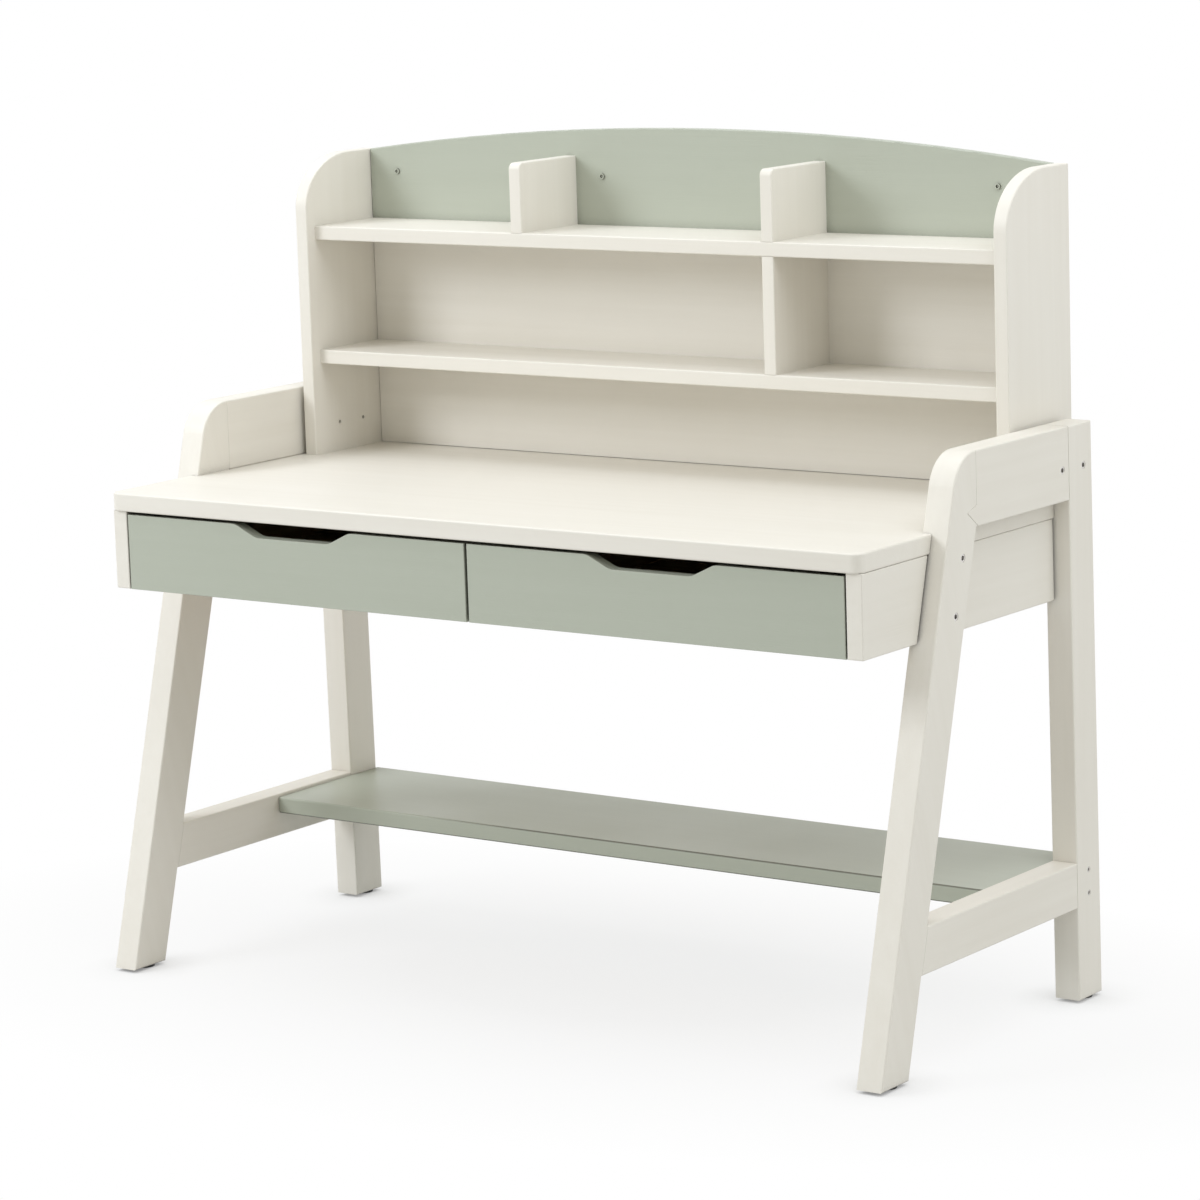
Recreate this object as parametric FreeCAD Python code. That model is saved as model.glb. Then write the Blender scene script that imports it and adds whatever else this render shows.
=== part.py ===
import FreeCAD, Part
import math
import os

# Student desk with hutch, in millimetres.
# X runs across the desk, the drawers open towards -Y, Z is up and the floor is at zero.

# Whole desk
overall_width = 1400.0
desk_height = 750.0
desk_depth = 619.0
arm_height = 108.0
hutch_height = 475.0
arch_rise = 41.0
glide_height = 5.0

# Side frames
leg_thickness = 42.0
front_foot_reach = 14.0
front_foot_depth = 71.0
front_leg_setback = 188.0
front_head_depth = 76.0
rear_leg_back_inset = 31.0
rear_leg_depth = 66.0
rear_leg_rake = 12.0
arm_nose_radius = 60.0
stretcher_top = 213.0
stretcher_height = 68.0
toe_reach = 25.0
toe_height = 22.0
toe_shoulder = 31.0
toe_root = 4.0
joint_groove = 1.3
frame_edge_radius = 2.5

# Boards
board_thickness = 22.0
desktop_thickness = 28.0
desktop_housing = 16.0
desktop_corner_radius = 16.0
desktop_edge_radius = 3.0
board_edge_radius = 2.0
housing_gap = 1.5

# Drawer case
case_housing = 15.0
case_gap = 4.5
case_height = 120.0
case_setback = 6.0
case_side_thickness = 26.0
apron_thickness = 20.0
partition_thickness = 18.0
partition_gap = 2.0

# Foot shelf
foot_shelf_depth = 255.0
foot_shelf_back_inset = 19.0
foot_shelf_thickness = 26.0
foot_shelf_drop = 5.0
foot_shelf_nose_radius = 3.0

# Hutch
hutch_gap = 8.0
hutch_depth = 177.0
hutch_curve_rise = 85.0
hutch_curve_depth = 112.0
shelf_setback = 20.0
upper_shelf_rise = 364.0
middle_shelf_rise = 167.0
divider_thickness = 21.0
divider_height = 107.0
divider_spread_share = 0.3667
divider_nose_radius = 10.0
back_thickness = 10.0
back_gap = 1.0
batten_height = 40.0
batten_thickness = 16.0
batten_drop = 15.0
batten_inset = 40.0

# Drawers
front_thickness = 20.0
front_reveal = 2.4
front_top_gap = 5.0
front_edge_radius = 1.2
pull_top_width = 217.0
pull_bottom_width = 138.0
pull_depth = 19.0
pull_radius = 28.0
drawer_side_thickness = 14.0
drawer_side_height = 84.0
drawer_rear_gap = 63.0
drawer_lift = 10.0
drawer_back_height = 88.0
bottom_thickness = 6.0
bottom_lift = 6.0
bottom_tongue = 5.0
drawer_travel = 300.0
run_gap = 1.0
slide_gap = 0.3
runner_thickness = 7.0
runner_height = 12.0
runner_lift = 39.0
runner_start_gap = 8.0
runner_end_gap = 3.0
groove_start = 4.0
stop_width = 60.0
stop_length = 24.0
stop_height = 16.0

# Fasteners: head diameter, head height, shank diameter, shank length
bolt_size = (12.0, 6.0, 6.0, 43.0)
hutch_bolt_size = (12.0, 6.0, 6.0, 58.0)
pin_size = (9.0, 3.0, 6.0, 26.0)
shelf_end_screw_size = (9.0, 3.0, 6.0, 74.0)
rising_screw_size = (10.0, 3.0, 5.0, 55.0)
small_screw_size = (7.0, 2.5, 3.5, 11.0)
drawer_screw_size = (7.0, 2.5, 3.5, 28.0)
back_screw_size = (6.0, 2.0, 3.0, 26.0)
round_screw_size = (9.0, 2.6, 4.0, 22.0)
head_recess = 0.6
fit_gap = 0.2
tip_gap = 0.5
overrun = 2.0
bolt_run_out = 10.0
spacer_diameter = 18.0
spacer_bore = 6.6
glide_diameter = 30.0
glide_setback = 10.0
glide_pin_diameter = 6.0
glide_pin_length = 22.0
small_dowel = (6.0, 36.0)
slim_dowel = (6.0, 30.0)
dowel = (8.0, 40.0)
short_dowel = (8.0, 26.0)
stout_dowel = (10.0, 50.0)

# Places of the fasteners
case_bolt_drop = 10.0
case_bolt_rise = 31.0
case_bolt_inset = 48.0
hutch_bolt_rise = 46.0
rail_bolt_inset = 18.5
leg_bolt_inset = 41.5
rail_dowel_drops = (43.0, 18.0)
stretcher_dowel_inset = 18.0
leg_pin_inset = 33.0
leg_pin_rise = 17.0
foot_shelf_screw_drop = 11.0
foot_shelf_dowel_shares = (0.16, 0.53)
case_dowel_shares = (0.17, 0.58, 0.87)
apron_dowel_shares = (0.30, 0.85)
apron_end_dowel_inset = 32.0
rising_screw_inset = 30.0
shelf_dowel_inset = 24.0
divider_dowel_inset = 28.0
divider_top_dowel_shares = (0.37, 0.62)
back_screw_shares = (0.27, 0.83)
arched_back_dowel_shares = (0.3, 0.8)
lower_back_dowel_shares = (0.2, 0.75)
arch_screw_shares = (-0.912, -0.27, 0.27, 0.858)
runner_screw_shares = (0.07, 0.5, 0.91)
drawer_dowel_rises = (20.0, 70.0)
drawer_screw_rises = (31.0, 71.0)
front_dowel_depth = 12.0
shelf_dowel_depth = 10.0
socket_share = 0.55
near_enough = 0.3

# Derived places
half_width = overall_width / 2
frame_inner = half_width - leg_thickness
arm_top = desk_height + arm_height
rear_leg_setback = desk_depth - rear_leg_back_inset - rear_leg_depth
stretcher_bottom = stretcher_top - stretcher_height
desktop_half = frame_inner + desktop_housing
desktop_bottom = desk_height - desktop_thickness
case_half = frame_inner + case_housing
case_inner = case_half - case_side_thickness
case_bottom = desktop_bottom - case_height
partition_half = partition_thickness / 2
foot_shelf_top = stretcher_top - foot_shelf_drop
foot_shelf_bottom = foot_shelf_top - foot_shelf_thickness
foot_shelf_back = desk_depth - foot_shelf_back_inset
foot_shelf_setback = foot_shelf_back - foot_shelf_depth
hutch_half = frame_inner - hutch_gap
hutch_inner = hutch_half - board_thickness
hutch_top = desk_height + hutch_height
hutch_setback = desk_depth - hutch_depth
divider_spread = hutch_inner * divider_spread_share
upper_shelf_top = desk_height + upper_shelf_rise
upper_shelf_bottom = upper_shelf_top - board_thickness
middle_shelf_top = desk_height + middle_shelf_rise
shelf_front = hutch_setback + shelf_setback
back_front = desk_depth - back_thickness
back_seam = upper_shelf_top - board_thickness / 2
batten_top = hutch_top - batten_drop
batten_middle = batten_top - batten_height / 2
front_back = case_setback + front_thickness
drawer_bottom = case_bottom + drawer_lift

right = FreeCAD.Vector(1, 0, 0)
left = FreeCAD.Vector(-1, 0, 0)
backward = FreeCAD.Vector(0, 1, 0)
forward = FreeCAD.Vector(0, -1, 0)
upward = FreeCAD.Vector(0, 0, 1)

pieces = {}


def between(height, low, low_place, high, high_place):
    share = (height - low) / (high - low)
    return low_place + share * (high_place - low_place)


def front_leg_front(height):
    return between(height, glide_height, -front_foot_reach, desk_height, front_leg_setback)


def front_leg_back(height):
    foot_back = front_foot_depth - front_foot_reach
    head_back = front_leg_setback + front_head_depth
    return between(height, glide_height, foot_back, desk_height, head_back)


def rear_leg_front(height):
    return between(height, glide_height, rear_leg_setback + rear_leg_rake, arm_top, rear_leg_setback)


def rear_leg_back(height):
    return rear_leg_front(height) + rear_leg_depth


def share_places(low, high, shares):
    return [low + share * (high - low) for share in shares]


def box(x_low, x_high, y_low, y_high, z_low, z_high):
    corner = FreeCAD.Vector(x_low, y_low, z_low)
    return Part.makeBox(x_high - x_low, y_high - y_low, z_high - z_low, corner)


def side_plate(outline, start, thickness):
    """A flat piece whose outline of (y, z) points is carried along X."""
    corners = [FreeCAD.Vector(start, y, z) for y, z in outline]
    wire = Part.makePolygon(corners + corners[:1])
    return Part.Face(wire).extrude(right * thickness)


def upright_plate(outline, start, thickness):
    """A flat piece whose outline of (x, z) points is carried along Y."""
    corners = [FreeCAD.Vector(x, start, z) for x, z in outline]
    wire = Part.makePolygon(corners + corners[:1])
    return Part.Face(wire).extrude(backward * thickness)


def rod(start, direction, diameter, length):
    return Part.makeCylinder(diameter / 2, length, start, direction)


def near(value, target):
    return abs(value - target) < near_enough


def rounded(shape, radius, chosen):
    edges = [edge for edge in shape.Edges if chosen(edge)]
    return shape.makeFillet(radius, edges)


def runs_along(edge, axis):
    first = edge.Vertexes[0].Point
    last = edge.Vertexes[-1].Point
    span = last - first
    return span.Length > 0 and abs(span.dot(axis)) > span.Length - near_enough


def mirrored(shape):
    return shape.mirror(FreeCAD.Vector(0, 0, 0), right)


def hexagon(start, direction, width, depth):
    reach = width / math.sqrt(3)
    turns = [math.radians(60 * step) for step in range(7)]
    corners = [FreeCAD.Vector(reach * math.cos(turn), reach * math.sin(turn), 0) for turn in turns]
    prism = Part.Face(Part.makePolygon(corners)).extrude(upward * depth)
    prism.Placement = FreeCAD.Placement(start, FreeCAD.Rotation(upward, direction))
    return prism


def screw(surface, direction, size):
    """A screw whose head lies just under the surface it is driven into."""
    head_diameter, head_height, shank_diameter, length = size
    start = surface + direction * head_recess
    neck = start + direction * head_height
    head = rod(start, direction, head_diameter, head_height)
    shank = rod(neck, direction, shank_diameter, length)
    body = head.fuse(shank).removeSplitter()
    return body.cut(hexagon(start, direction, head_diameter * socket_share, head_height * socket_share))


def screw_bore(surface, direction, size, run_out=tip_gap):
    head_diameter, head_height, shank_diameter, length = size
    start = surface - direction * overrun
    seat = overrun + head_recess + head_height
    head = rod(start, direction, head_diameter + fit_gap, seat)
    shank = rod(start, direction, shank_diameter + fit_gap, seat + length + run_out)
    return head.fuse(shank)


def peg(middle, direction, size):
    diameter, length = size
    return rod(middle - direction * (length / 2), direction, diameter, length)


def peg_bore(middle, direction, size):
    diameter, length = size
    return peg(middle, direction, (diameter + fit_gap, length + tip_gap))


def drill(names, bores):
    for name in names:
        pieces[name] = pieces[name].cut(bores)


def set_in(name, solids, bores, hosts):
    """Keeps a group of like fasteners and drills their holes."""
    pieces[name] = Part.makeCompound(solids)
    drill(hosts, bores)


def both_sides(places):
    return [(side, place) for side in (-1, 1) for place in places]


# Side frames: one eased outline, parted into legs, arm rail and stretcher
frame_outline = [
    (front_leg_front(glide_height), glide_height),
    (front_leg_front(arm_top), arm_top),
    (rear_leg_back(arm_top), arm_top),
    (rear_leg_back(glide_height), glide_height),
    (rear_leg_front(glide_height), glide_height),
    (rear_leg_front(stretcher_bottom), stretcher_bottom),
    (front_leg_back(stretcher_bottom), stretcher_bottom),
    (front_leg_back(glide_height), glide_height),
]
frame_window = [
    (front_leg_back(stretcher_top), stretcher_top),
    (rear_leg_front(stretcher_top), stretcher_top),
    (rear_leg_front(desk_height), desk_height),
    (front_leg_back(desk_height), desk_height),
]
nose_place = front_leg_front(arm_top)


def on_nose(edge):
    centre = edge.CenterOfMass
    return runs_along(edge, right) and near(centre.y, nose_place) and near(centre.z, arm_top)


def on_frame_faces(edge):
    places = [vertex.X for vertex in edge.Vertexes]
    on_inner = all(near(place, frame_inner) for place in places)
    on_outer = all(near(place, half_width) for place in places)
    return on_inner or on_outer


frame = side_plate(frame_outline, frame_inner, leg_thickness)
frame = frame.cut(side_plate(frame_window, frame_inner, leg_thickness))
frame = rounded(frame, arm_nose_radius, on_nose)
frame = rounded(frame, frame_edge_radius, on_frame_faces)

below = -overrun
above = arm_top + overrun
rail_front = front_leg_back(desk_height)
front_leg_room = [
    (-front_foot_reach - overrun, below),
    (front_leg_back(below), below),
    (front_leg_back(desk_height - toe_root), desk_height - toe_root),
    (rail_front + toe_root, desk_height - toe_root),
    (rail_front + toe_root, desk_height),
    (rail_front - toe_reach, desk_height + toe_height),
    (rail_front, desk_height + toe_shoulder),
    (rail_front, above),
    (-front_foot_reach - overrun, above),
]
plain_leg_room = [
    (-front_foot_reach - overrun, below),
    (front_leg_back(below), below),
    (rail_front, desk_height),
    (rail_front, above),
    (-front_foot_reach - overrun, above),
]
rear_leg_room = [
    (rear_leg_front(below), below),
    (rear_leg_back(below) + overrun, below),
    (rear_leg_back(below) + overrun, above),
    (rear_leg_front(above), above),
]


def on_leg_faces(edge):
    points = [vertex.Point for vertex in edge.Vertexes]
    at_front = all(near(point.y, front_leg_back(point.z)) for point in points)
    at_rear = all(near(point.y, rear_leg_front(point.z)) for point in points)
    return at_front or at_rear


def on_rail_ends(edge):
    points = [vertex.Point for vertex in edge.Vertexes]
    at_front = all(point.y < rail_front + toe_root + near_enough for point in points)
    at_rear = all(near(point.y, rear_leg_front(point.z)) for point in points)
    return at_rear or (at_front and on_frame_faces(edge))


def grooved(shape, chosen):
    """Takes the sharp rim off the joint ends, so that each joint shows as a fine line."""
    edges = [edge for edge in shape.Edges if chosen(edge)]
    return shape.makeChamfer(joint_groove, edges)


toe_layer = leg_thickness / 2
toe_room = side_plate(front_leg_room, frame_inner + toe_layer, toe_layer)
front_room = side_plate(plain_leg_room, frame_inner, toe_layer).fuse(toe_room)
rear_room = side_plate(rear_leg_room, frame_inner, leg_thickness)
cross_pieces = frame.cut([front_room, rear_room]).Solids
cross_pieces.sort(key=lambda solid: solid.BoundBox.ZMin)
pieces["right_front_leg"] = frame.common(front_room)
pieces["right_rear_leg"] = frame.common(rear_room)
pieces["right_stretcher"] = grooved(cross_pieces[0], on_leg_faces)
pieces["right_arm_rail"] = grooved(cross_pieces[-1], on_rail_ends)
frame_names = ("front_leg", "rear_leg", "stretcher", "arm_rail")
for frame_name in frame_names:
    pieces["left_" + frame_name] = mirrored(pieces["right_" + frame_name])


def leg_housing(z_low, z_high, depth, gap):
    """Room for both legs at the outer edge of a board between two heights."""
    low = z_low - overrun
    high = z_high + overrun
    front = [
        (front_leg_front(low) - gap, low),
        (front_leg_back(low) + gap, low),
        (front_leg_back(high) + gap, high),
        (front_leg_front(high) - gap, high),
    ]
    rear = [
        (rear_leg_front(low) - gap, low),
        (desk_depth + overrun, low),
        (desk_depth + overrun, high),
        (rear_leg_front(high) - gap, high),
    ]
    rooms = [side_plate(outline, frame_inner, depth + overrun) for outline in (front, rear)]
    return rooms + [mirrored(room) for room in rooms]


# Desktop
def on_desktop_corner(edge):
    return runs_along(edge, upward) and near(edge.CenterOfMass.y, 0)


def on_desktop_rim(edge):
    heights = [vertex.Z for vertex in edge.Vertexes]
    return max(heights) - min(heights) < near_enough


desktop = box(-desktop_half, desktop_half, 0, desk_depth, desktop_bottom, desk_height)
desktop = rounded(desktop, desktop_corner_radius, on_desktop_corner)
desktop = rounded(desktop, desktop_edge_radius, on_desktop_rim)
pieces["desktop"] = desktop.cut(leg_housing(desktop_bottom, desk_height, desktop_housing, housing_gap))


# Drawer case, its apron in the middle of the rear legs' depth
case_middle = (case_bottom + desktop_bottom) / 2
apron_middle = (rear_leg_front(case_middle) + rear_leg_back(case_middle)) / 2
apron_setback = apron_middle - apron_thickness / 2
drawer_rear = apron_setback - drawer_rear_gap


def on_case_rim(edge):
    centre = edge.CenterOfMass
    at_front = near(centre.y, case_setback) and not near(centre.z, desktop_bottom)
    at_outside = near(centre.x, case_half) and runs_along(edge, backward)
    return at_front or at_outside


case_side = box(case_inner, case_half, case_setback, apron_setback, case_bottom, desktop_bottom)
case_side = rounded(case_side, board_edge_radius, on_case_rim)
case_side = case_side.cut(leg_housing(case_bottom, desktop_bottom, case_housing, case_gap))
pieces["right_case_side"] = case_side
pieces["left_case_side"] = mirrored(case_side)
partition_front = front_back + partition_gap
pieces["case_partition"] = box(
    -partition_half, partition_half, partition_front, apron_setback, case_bottom, desktop_bottom
)
apron_back = apron_setback + apron_thickness
pieces["rear_apron"] = box(
    -frame_inner, frame_inner, apron_setback, apron_back, case_bottom, desktop_bottom
)


# Foot shelf
def on_foot_shelf_nose(edge):
    return near(edge.CenterOfMass.y, foot_shelf_setback) and runs_along(edge, right)


def on_foot_shelf_ends(edge):
    return all(near(abs(vertex.X), frame_inner) for vertex in edge.Vertexes)


foot_shelf = box(
    -frame_inner, frame_inner, foot_shelf_setback, foot_shelf_back, foot_shelf_bottom, foot_shelf_top
)
foot_shelf = rounded(foot_shelf, foot_shelf_nose_radius, on_foot_shelf_nose)
pieces["foot_shelf"] = grooved(foot_shelf, on_foot_shelf_ends)

# Hutch sides: the front top corner is a quarter of an ellipse
curve_start = hutch_top - hutch_curve_rise
curve_steps = 10
curve_points = []
for step in range(curve_steps + 1):
    turn = math.radians(90) * step / curve_steps
    curve_y = hutch_setback + hutch_curve_depth * (1 - math.cos(turn))
    curve_z = curve_start + hutch_curve_rise * math.sin(turn)
    curve_points.append(FreeCAD.Vector(hutch_inner, curve_y, curve_z))
curve = Part.BSplineCurve()
curve.interpolate(curve_points)
side_corners = [
    curve_points[-1],
    FreeCAD.Vector(hutch_inner, desk_depth, hutch_top),
    FreeCAD.Vector(hutch_inner, desk_depth, desk_height),
    FreeCAD.Vector(hutch_inner, hutch_setback, desk_height),
    curve_points[0],
]
side_wire = Part.Wire([curve.toShape()] + Part.makePolygon(side_corners).Edges)
hutch_side = Part.Face(side_wire).extrude(right * board_thickness)


def on_hutch_rim(edge):
    places = [vertex.X for vertex in edge.Vertexes]
    flat = max(places) - min(places) < near_enough
    at_front = near(edge.CenterOfMass.y, hutch_setback)
    at_curve = edge.CenterOfMass.z > curve_start
    at_back = near(edge.CenterOfMass.y, desk_depth)
    return flat and not at_back and (at_front or at_curve)


hutch_side = rounded(hutch_side, board_edge_radius, on_hutch_rim)
pieces["right_hutch_side"] = hutch_side
pieces["left_hutch_side"] = mirrored(hutch_side)


# Hutch shelves
def on_shelf_front(edge):
    return near(edge.CenterOfMass.y, shelf_front) and runs_along(edge, right)


shelf_heights = {"upper_shelf": upper_shelf_top, "middle_shelf": middle_shelf_top}
for shelf_name, shelf_top in shelf_heights.items():
    shelf = box(
        -hutch_inner, hutch_inner, shelf_front, back_front, shelf_top - board_thickness, shelf_top
    )
    pieces[shelf_name] = rounded(shelf, board_edge_radius, on_shelf_front)


# Dividers
def on_divider_nose(edge):
    centre = edge.CenterOfMass
    at_top = near(centre.z, upper_shelf_top + divider_height)
    return runs_along(edge, right) and near(centre.y, shelf_front) and at_top


def on_divider_rim(edge):
    centre = edge.CenterOfMass
    at_back = near(centre.y, back_front)
    at_foot = near(centre.z, upper_shelf_top)
    return not runs_along(edge, right) and not at_back and not at_foot


def on_divider_front(edge):
    return near(edge.CenterOfMass.y, shelf_front) and runs_along(edge, upward)


def divider(middle, z_low, z_high):
    x_low = middle - divider_thickness / 2
    x_high = middle + divider_thickness / 2
    return box(x_low, x_high, shelf_front, back_front, z_low, z_high)


def upper_divider(middle):
    shape = divider(middle, upper_shelf_top, upper_shelf_top + divider_height)
    shape = rounded(shape, divider_nose_radius, on_divider_nose)
    return rounded(shape, board_edge_radius, on_divider_rim)


pieces["left_upper_divider"] = upper_divider(-divider_spread)
pieces["right_upper_divider"] = upper_divider(divider_spread)
lower_divider = divider(divider_spread, middle_shelf_top, upper_shelf_bottom)
pieces["lower_divider"] = rounded(lower_divider, board_edge_radius, on_divider_front)

# Backs: an arched one above the seam behind the upper shelf, a plain one below it
back_half = hutch_inner - back_gap
arch_left = FreeCAD.Vector(-back_half, back_front, hutch_top)
arch_crown = FreeCAD.Vector(0, back_front, hutch_top + arch_rise)
arch_right = FreeCAD.Vector(back_half, back_front, hutch_top)
arch_corners = [
    arch_right,
    FreeCAD.Vector(back_half, back_front, back_seam),
    FreeCAD.Vector(-back_half, back_front, back_seam),
    arch_left,
]
arch_edge = Part.Arc(arch_left, arch_crown, arch_right).toShape()
arch_wire = Part.Wire([arch_edge] + Part.makePolygon(arch_corners).Edges)
arched_back = Part.Face(arch_wire).extrude(backward * back_thickness)


def on_arch_front(edge):
    return edge.CenterOfMass.z > hutch_top and near(edge.CenterOfMass.y, back_front)


pieces["arched_back"] = rounded(arched_back, board_edge_radius, on_arch_front)
back_bottom = desk_height + back_gap
pieces["lower_back"] = box(-back_half, back_half, back_front, desk_depth, back_bottom, back_seam)
batten_half = hutch_half - batten_inset
batten_back = desk_depth + batten_thickness
pieces["rear_batten"] = box(
    -batten_half, batten_half, desk_depth, batten_back, batten_top - batten_height, batten_top
)

# Drawer fronts: the finger pull is a sloping cut with rounded corners in the top edge
front_top = desktop_bottom - front_top_gap
front_left = -case_inner + front_reveal
front_right = -front_reveal
front_middle = (front_left + front_right) / 2
pull_floor = front_top - pull_depth
front_outline = [
    (front_left, case_bottom),
    (front_right, case_bottom),
    (front_right, front_top),
    (front_middle + pull_top_width / 2, front_top),
    (front_middle + pull_bottom_width / 2, pull_floor),
    (front_middle - pull_bottom_width / 2, pull_floor),
    (front_middle - pull_top_width / 2, front_top),
    (front_left, front_top),
]


def on_pull_corner(edge):
    off_middle = abs(edge.CenterOfMass.x - front_middle)
    at_top = near(off_middle, pull_top_width / 2)
    at_floor = near(off_middle, pull_bottom_width / 2)
    return runs_along(edge, backward) and (at_top or at_floor)


def on_front_rim(edge):
    places = [vertex.Y for vertex in edge.Vertexes]
    return all(near(place, case_setback) for place in places)


drawer_front = upright_plate(front_outline, case_setback, front_thickness)
drawer_front = rounded(drawer_front, pull_radius, on_pull_corner)
drawer_front = rounded(drawer_front, front_edge_radius, on_front_rim)

# Drawer boxes: grooved sides hang on the runners, the bottom lies in grooves
outer_face = -case_inner + run_gap
inner_face = -partition_half - run_gap
outer_inside = outer_face + drawer_side_thickness
inner_inside = inner_face - drawer_side_thickness
side_top = drawer_bottom + drawer_side_height
bottom_low = drawer_bottom + bottom_lift
bottom_high = bottom_low + bottom_thickness
runner_bottom = drawer_bottom + runner_lift
runner_top = runner_bottom + runner_height
groove_depth = runner_thickness - run_gap + slide_gap
back_inside = drawer_rear - drawer_side_thickness
tongue = bottom_tongue + fit_gap
bottom_room = box(
    outer_inside - tongue,
    inner_inside + tongue,
    front_back - tongue,
    drawer_rear + overrun,
    bottom_low - fit_gap / 2,
    bottom_high + fit_gap / 2,
)
groove_room = [front_back + groove_start, drawer_rear + overrun]
groove_room += [runner_bottom - slide_gap, runner_top + slide_gap]
outer_side = box(outer_face, outer_inside, front_back, drawer_rear, drawer_bottom, side_top)
outer_groove = box(outer_face - overrun, outer_face + groove_depth, *groove_room)
inner_side = box(inner_inside, inner_face, front_back, drawer_rear, drawer_bottom, side_top)
inner_groove = box(inner_face - groove_depth, inner_face + overrun, *groove_room)
drawer = {
    "front": drawer_front.cut(bottom_room),
    "outer_side": outer_side.cut([outer_groove, bottom_room]),
    "inner_side": inner_side.cut([inner_groove, bottom_room]),
    "back": box(
        outer_inside, inner_inside, back_inside, drawer_rear, bottom_high, bottom_high + drawer_back_height
    ),
    "bottom": box(
        outer_inside - bottom_tongue,
        inner_inside + bottom_tongue,
        front_back - bottom_tongue,
        drawer_rear,
        bottom_low,
        bottom_high,
    ),
}
side_middles = (outer_face + drawer_side_thickness / 2, inner_face - drawer_side_thickness / 2)
dowel_middle = front_back - front_dowel_depth + small_dowel[1] / 2
dowel_heights = [drawer_bottom + rise for rise in drawer_dowel_rises]
screw_heights = [drawer_bottom + rise for rise in drawer_screw_rises]
drawer_pegs = [
    FreeCAD.Vector(x, dowel_middle, z) for x in side_middles for z in dowel_heights
]
drawer["dowels"] = Part.makeCompound([peg(point, backward, small_dowel) for point in drawer_pegs])
drawer_bores = [peg_bore(point, backward, small_dowel) for point in drawer_pegs]
screw_row = drawer_rear - drawer_side_thickness / 2
drawer_drives = [(FreeCAD.Vector(outer_face, screw_row, z), right) for z in screw_heights]
drawer_drives += [(FreeCAD.Vector(inner_face, screw_row, z), left) for z in screw_heights]
drawer["screws"] = Part.makeCompound(
    [screw(point, direction, drawer_screw_size) for point, direction in drawer_drives]
)
drawer_bores += [
    screw_bore(point, direction, drawer_screw_size) for point, direction in drawer_drives
]
for part_name in ("front", "outer_side", "inner_side", "back"):
    drawer[part_name] = drawer[part_name].cut(drawer_bores)
for part_name, shape in drawer.items():
    pieces["left_drawer_" + part_name] = shape
    pieces["right_drawer_" + part_name] = mirrored(shape)

# Runners on the case sides and partition, stop blocks under the desktop
runner_start = front_back + runner_start_gap
runner_end = apron_setback - runner_end_gap
runner_room = [runner_start, runner_end, runner_bottom, runner_top]
outer_runner = box(-case_inner, -case_inner + runner_thickness, *runner_room)
inner_runner = box(-partition_half - runner_thickness, -partition_half, *runner_room)
runners = [outer_runner, inner_runner, mirrored(outer_runner), mirrored(inner_runner)]
pieces["drawer_runners"] = Part.makeCompound(runners)
stop_back = back_inside - drawer_travel - slide_gap
box_middle = (outer_face + inner_face) / 2
stop = box(
    box_middle - stop_width / 2,
    box_middle + stop_width / 2,
    stop_back - stop_length,
    stop_back,
    desktop_bottom - stop_height,
    desktop_bottom,
)
pieces["drawer_stops"] = Part.makeCompound([stop, mirrored(stop)])

# Glides under the feet, each with a pin up into the leg
foot_places = (
    (front_leg_front(glide_height) + front_leg_back(glide_height)) / 2,
    (rear_leg_front(glide_height) + rear_leg_back(glide_height)) / 2,
)
leg_middle = frame_inner + leg_thickness / 2
glides = []
glide_bores = []
for side, place in both_sides(foot_places):
    floor_point = FreeCAD.Vector(side * leg_middle, place + glide_setback, 0)
    pin_point = floor_point + upward * glide_height
    disc = rod(floor_point, upward, glide_diameter, glide_height)
    pin = rod(pin_point, upward, glide_pin_diameter, glide_pin_length)
    glides.append(disc.fuse(pin).removeSplitter())
    bore_length = glide_pin_length + tip_gap
    glide_bores.append(rod(pin_point, upward, glide_pin_diameter + fit_gap, bore_length))
leg_names = ["left_front_leg", "right_front_leg", "left_rear_leg", "right_rear_leg"]
set_in("foot_glides", glides, glide_bores, leg_names)


def outer_drives(places, size, run_out=tip_gap):
    """Screws and bores driven inwards from the outer faces of both frames."""
    solids = []
    bores = []
    for side, (y, z) in both_sides(places):
        point = FreeCAD.Vector(side * half_width, y, z)
        solids.append(screw(point, right * -side, size))
        bores.append(screw_bore(point, right * -side, size, run_out))
    return solids, bores


def named(*names):
    return [side + name for side in ("left_", "right_") for name in names]


# Bolts from the front legs into the case
bolt_heights = (desktop_bottom - case_bolt_drop, case_bottom + case_bolt_rise)
case_bolt_places = [(front_leg_front(z) + case_bolt_inset, z) for z in bolt_heights]
solids, bores = outer_drives(case_bolt_places, bolt_size)
set_in("case_bolts", solids, bores, named("front_leg", "case_side"))

# Bolts and spacers from the arm rails and rear legs into the hutch sides
hutch_bolt_height = desk_height + hutch_bolt_rise
joint_place = rear_leg_front(hutch_bolt_height)
hutch_bolt_row = (joint_place - rail_bolt_inset, joint_place + leg_bolt_inset)
hutch_bolt_places = [(y, hutch_bolt_height) for y in hutch_bolt_row]
solids, bores = outer_drives(hutch_bolt_places, hutch_bolt_size, bolt_run_out)
set_in("hutch_bolts", solids, bores, named("arm_rail", "rear_leg", "hutch_side"))
spacers = []
for side, (y, z) in both_sides(hutch_bolt_places):
    point = FreeCAD.Vector(side * hutch_half, y, z)
    tube = rod(point, right * side, spacer_diameter, hutch_gap)
    spacers.append(tube.cut(rod(point, right * side, spacer_bore, hutch_gap)))
pieces["hutch_spacers"] = Part.makeCompound(spacers)

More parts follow.
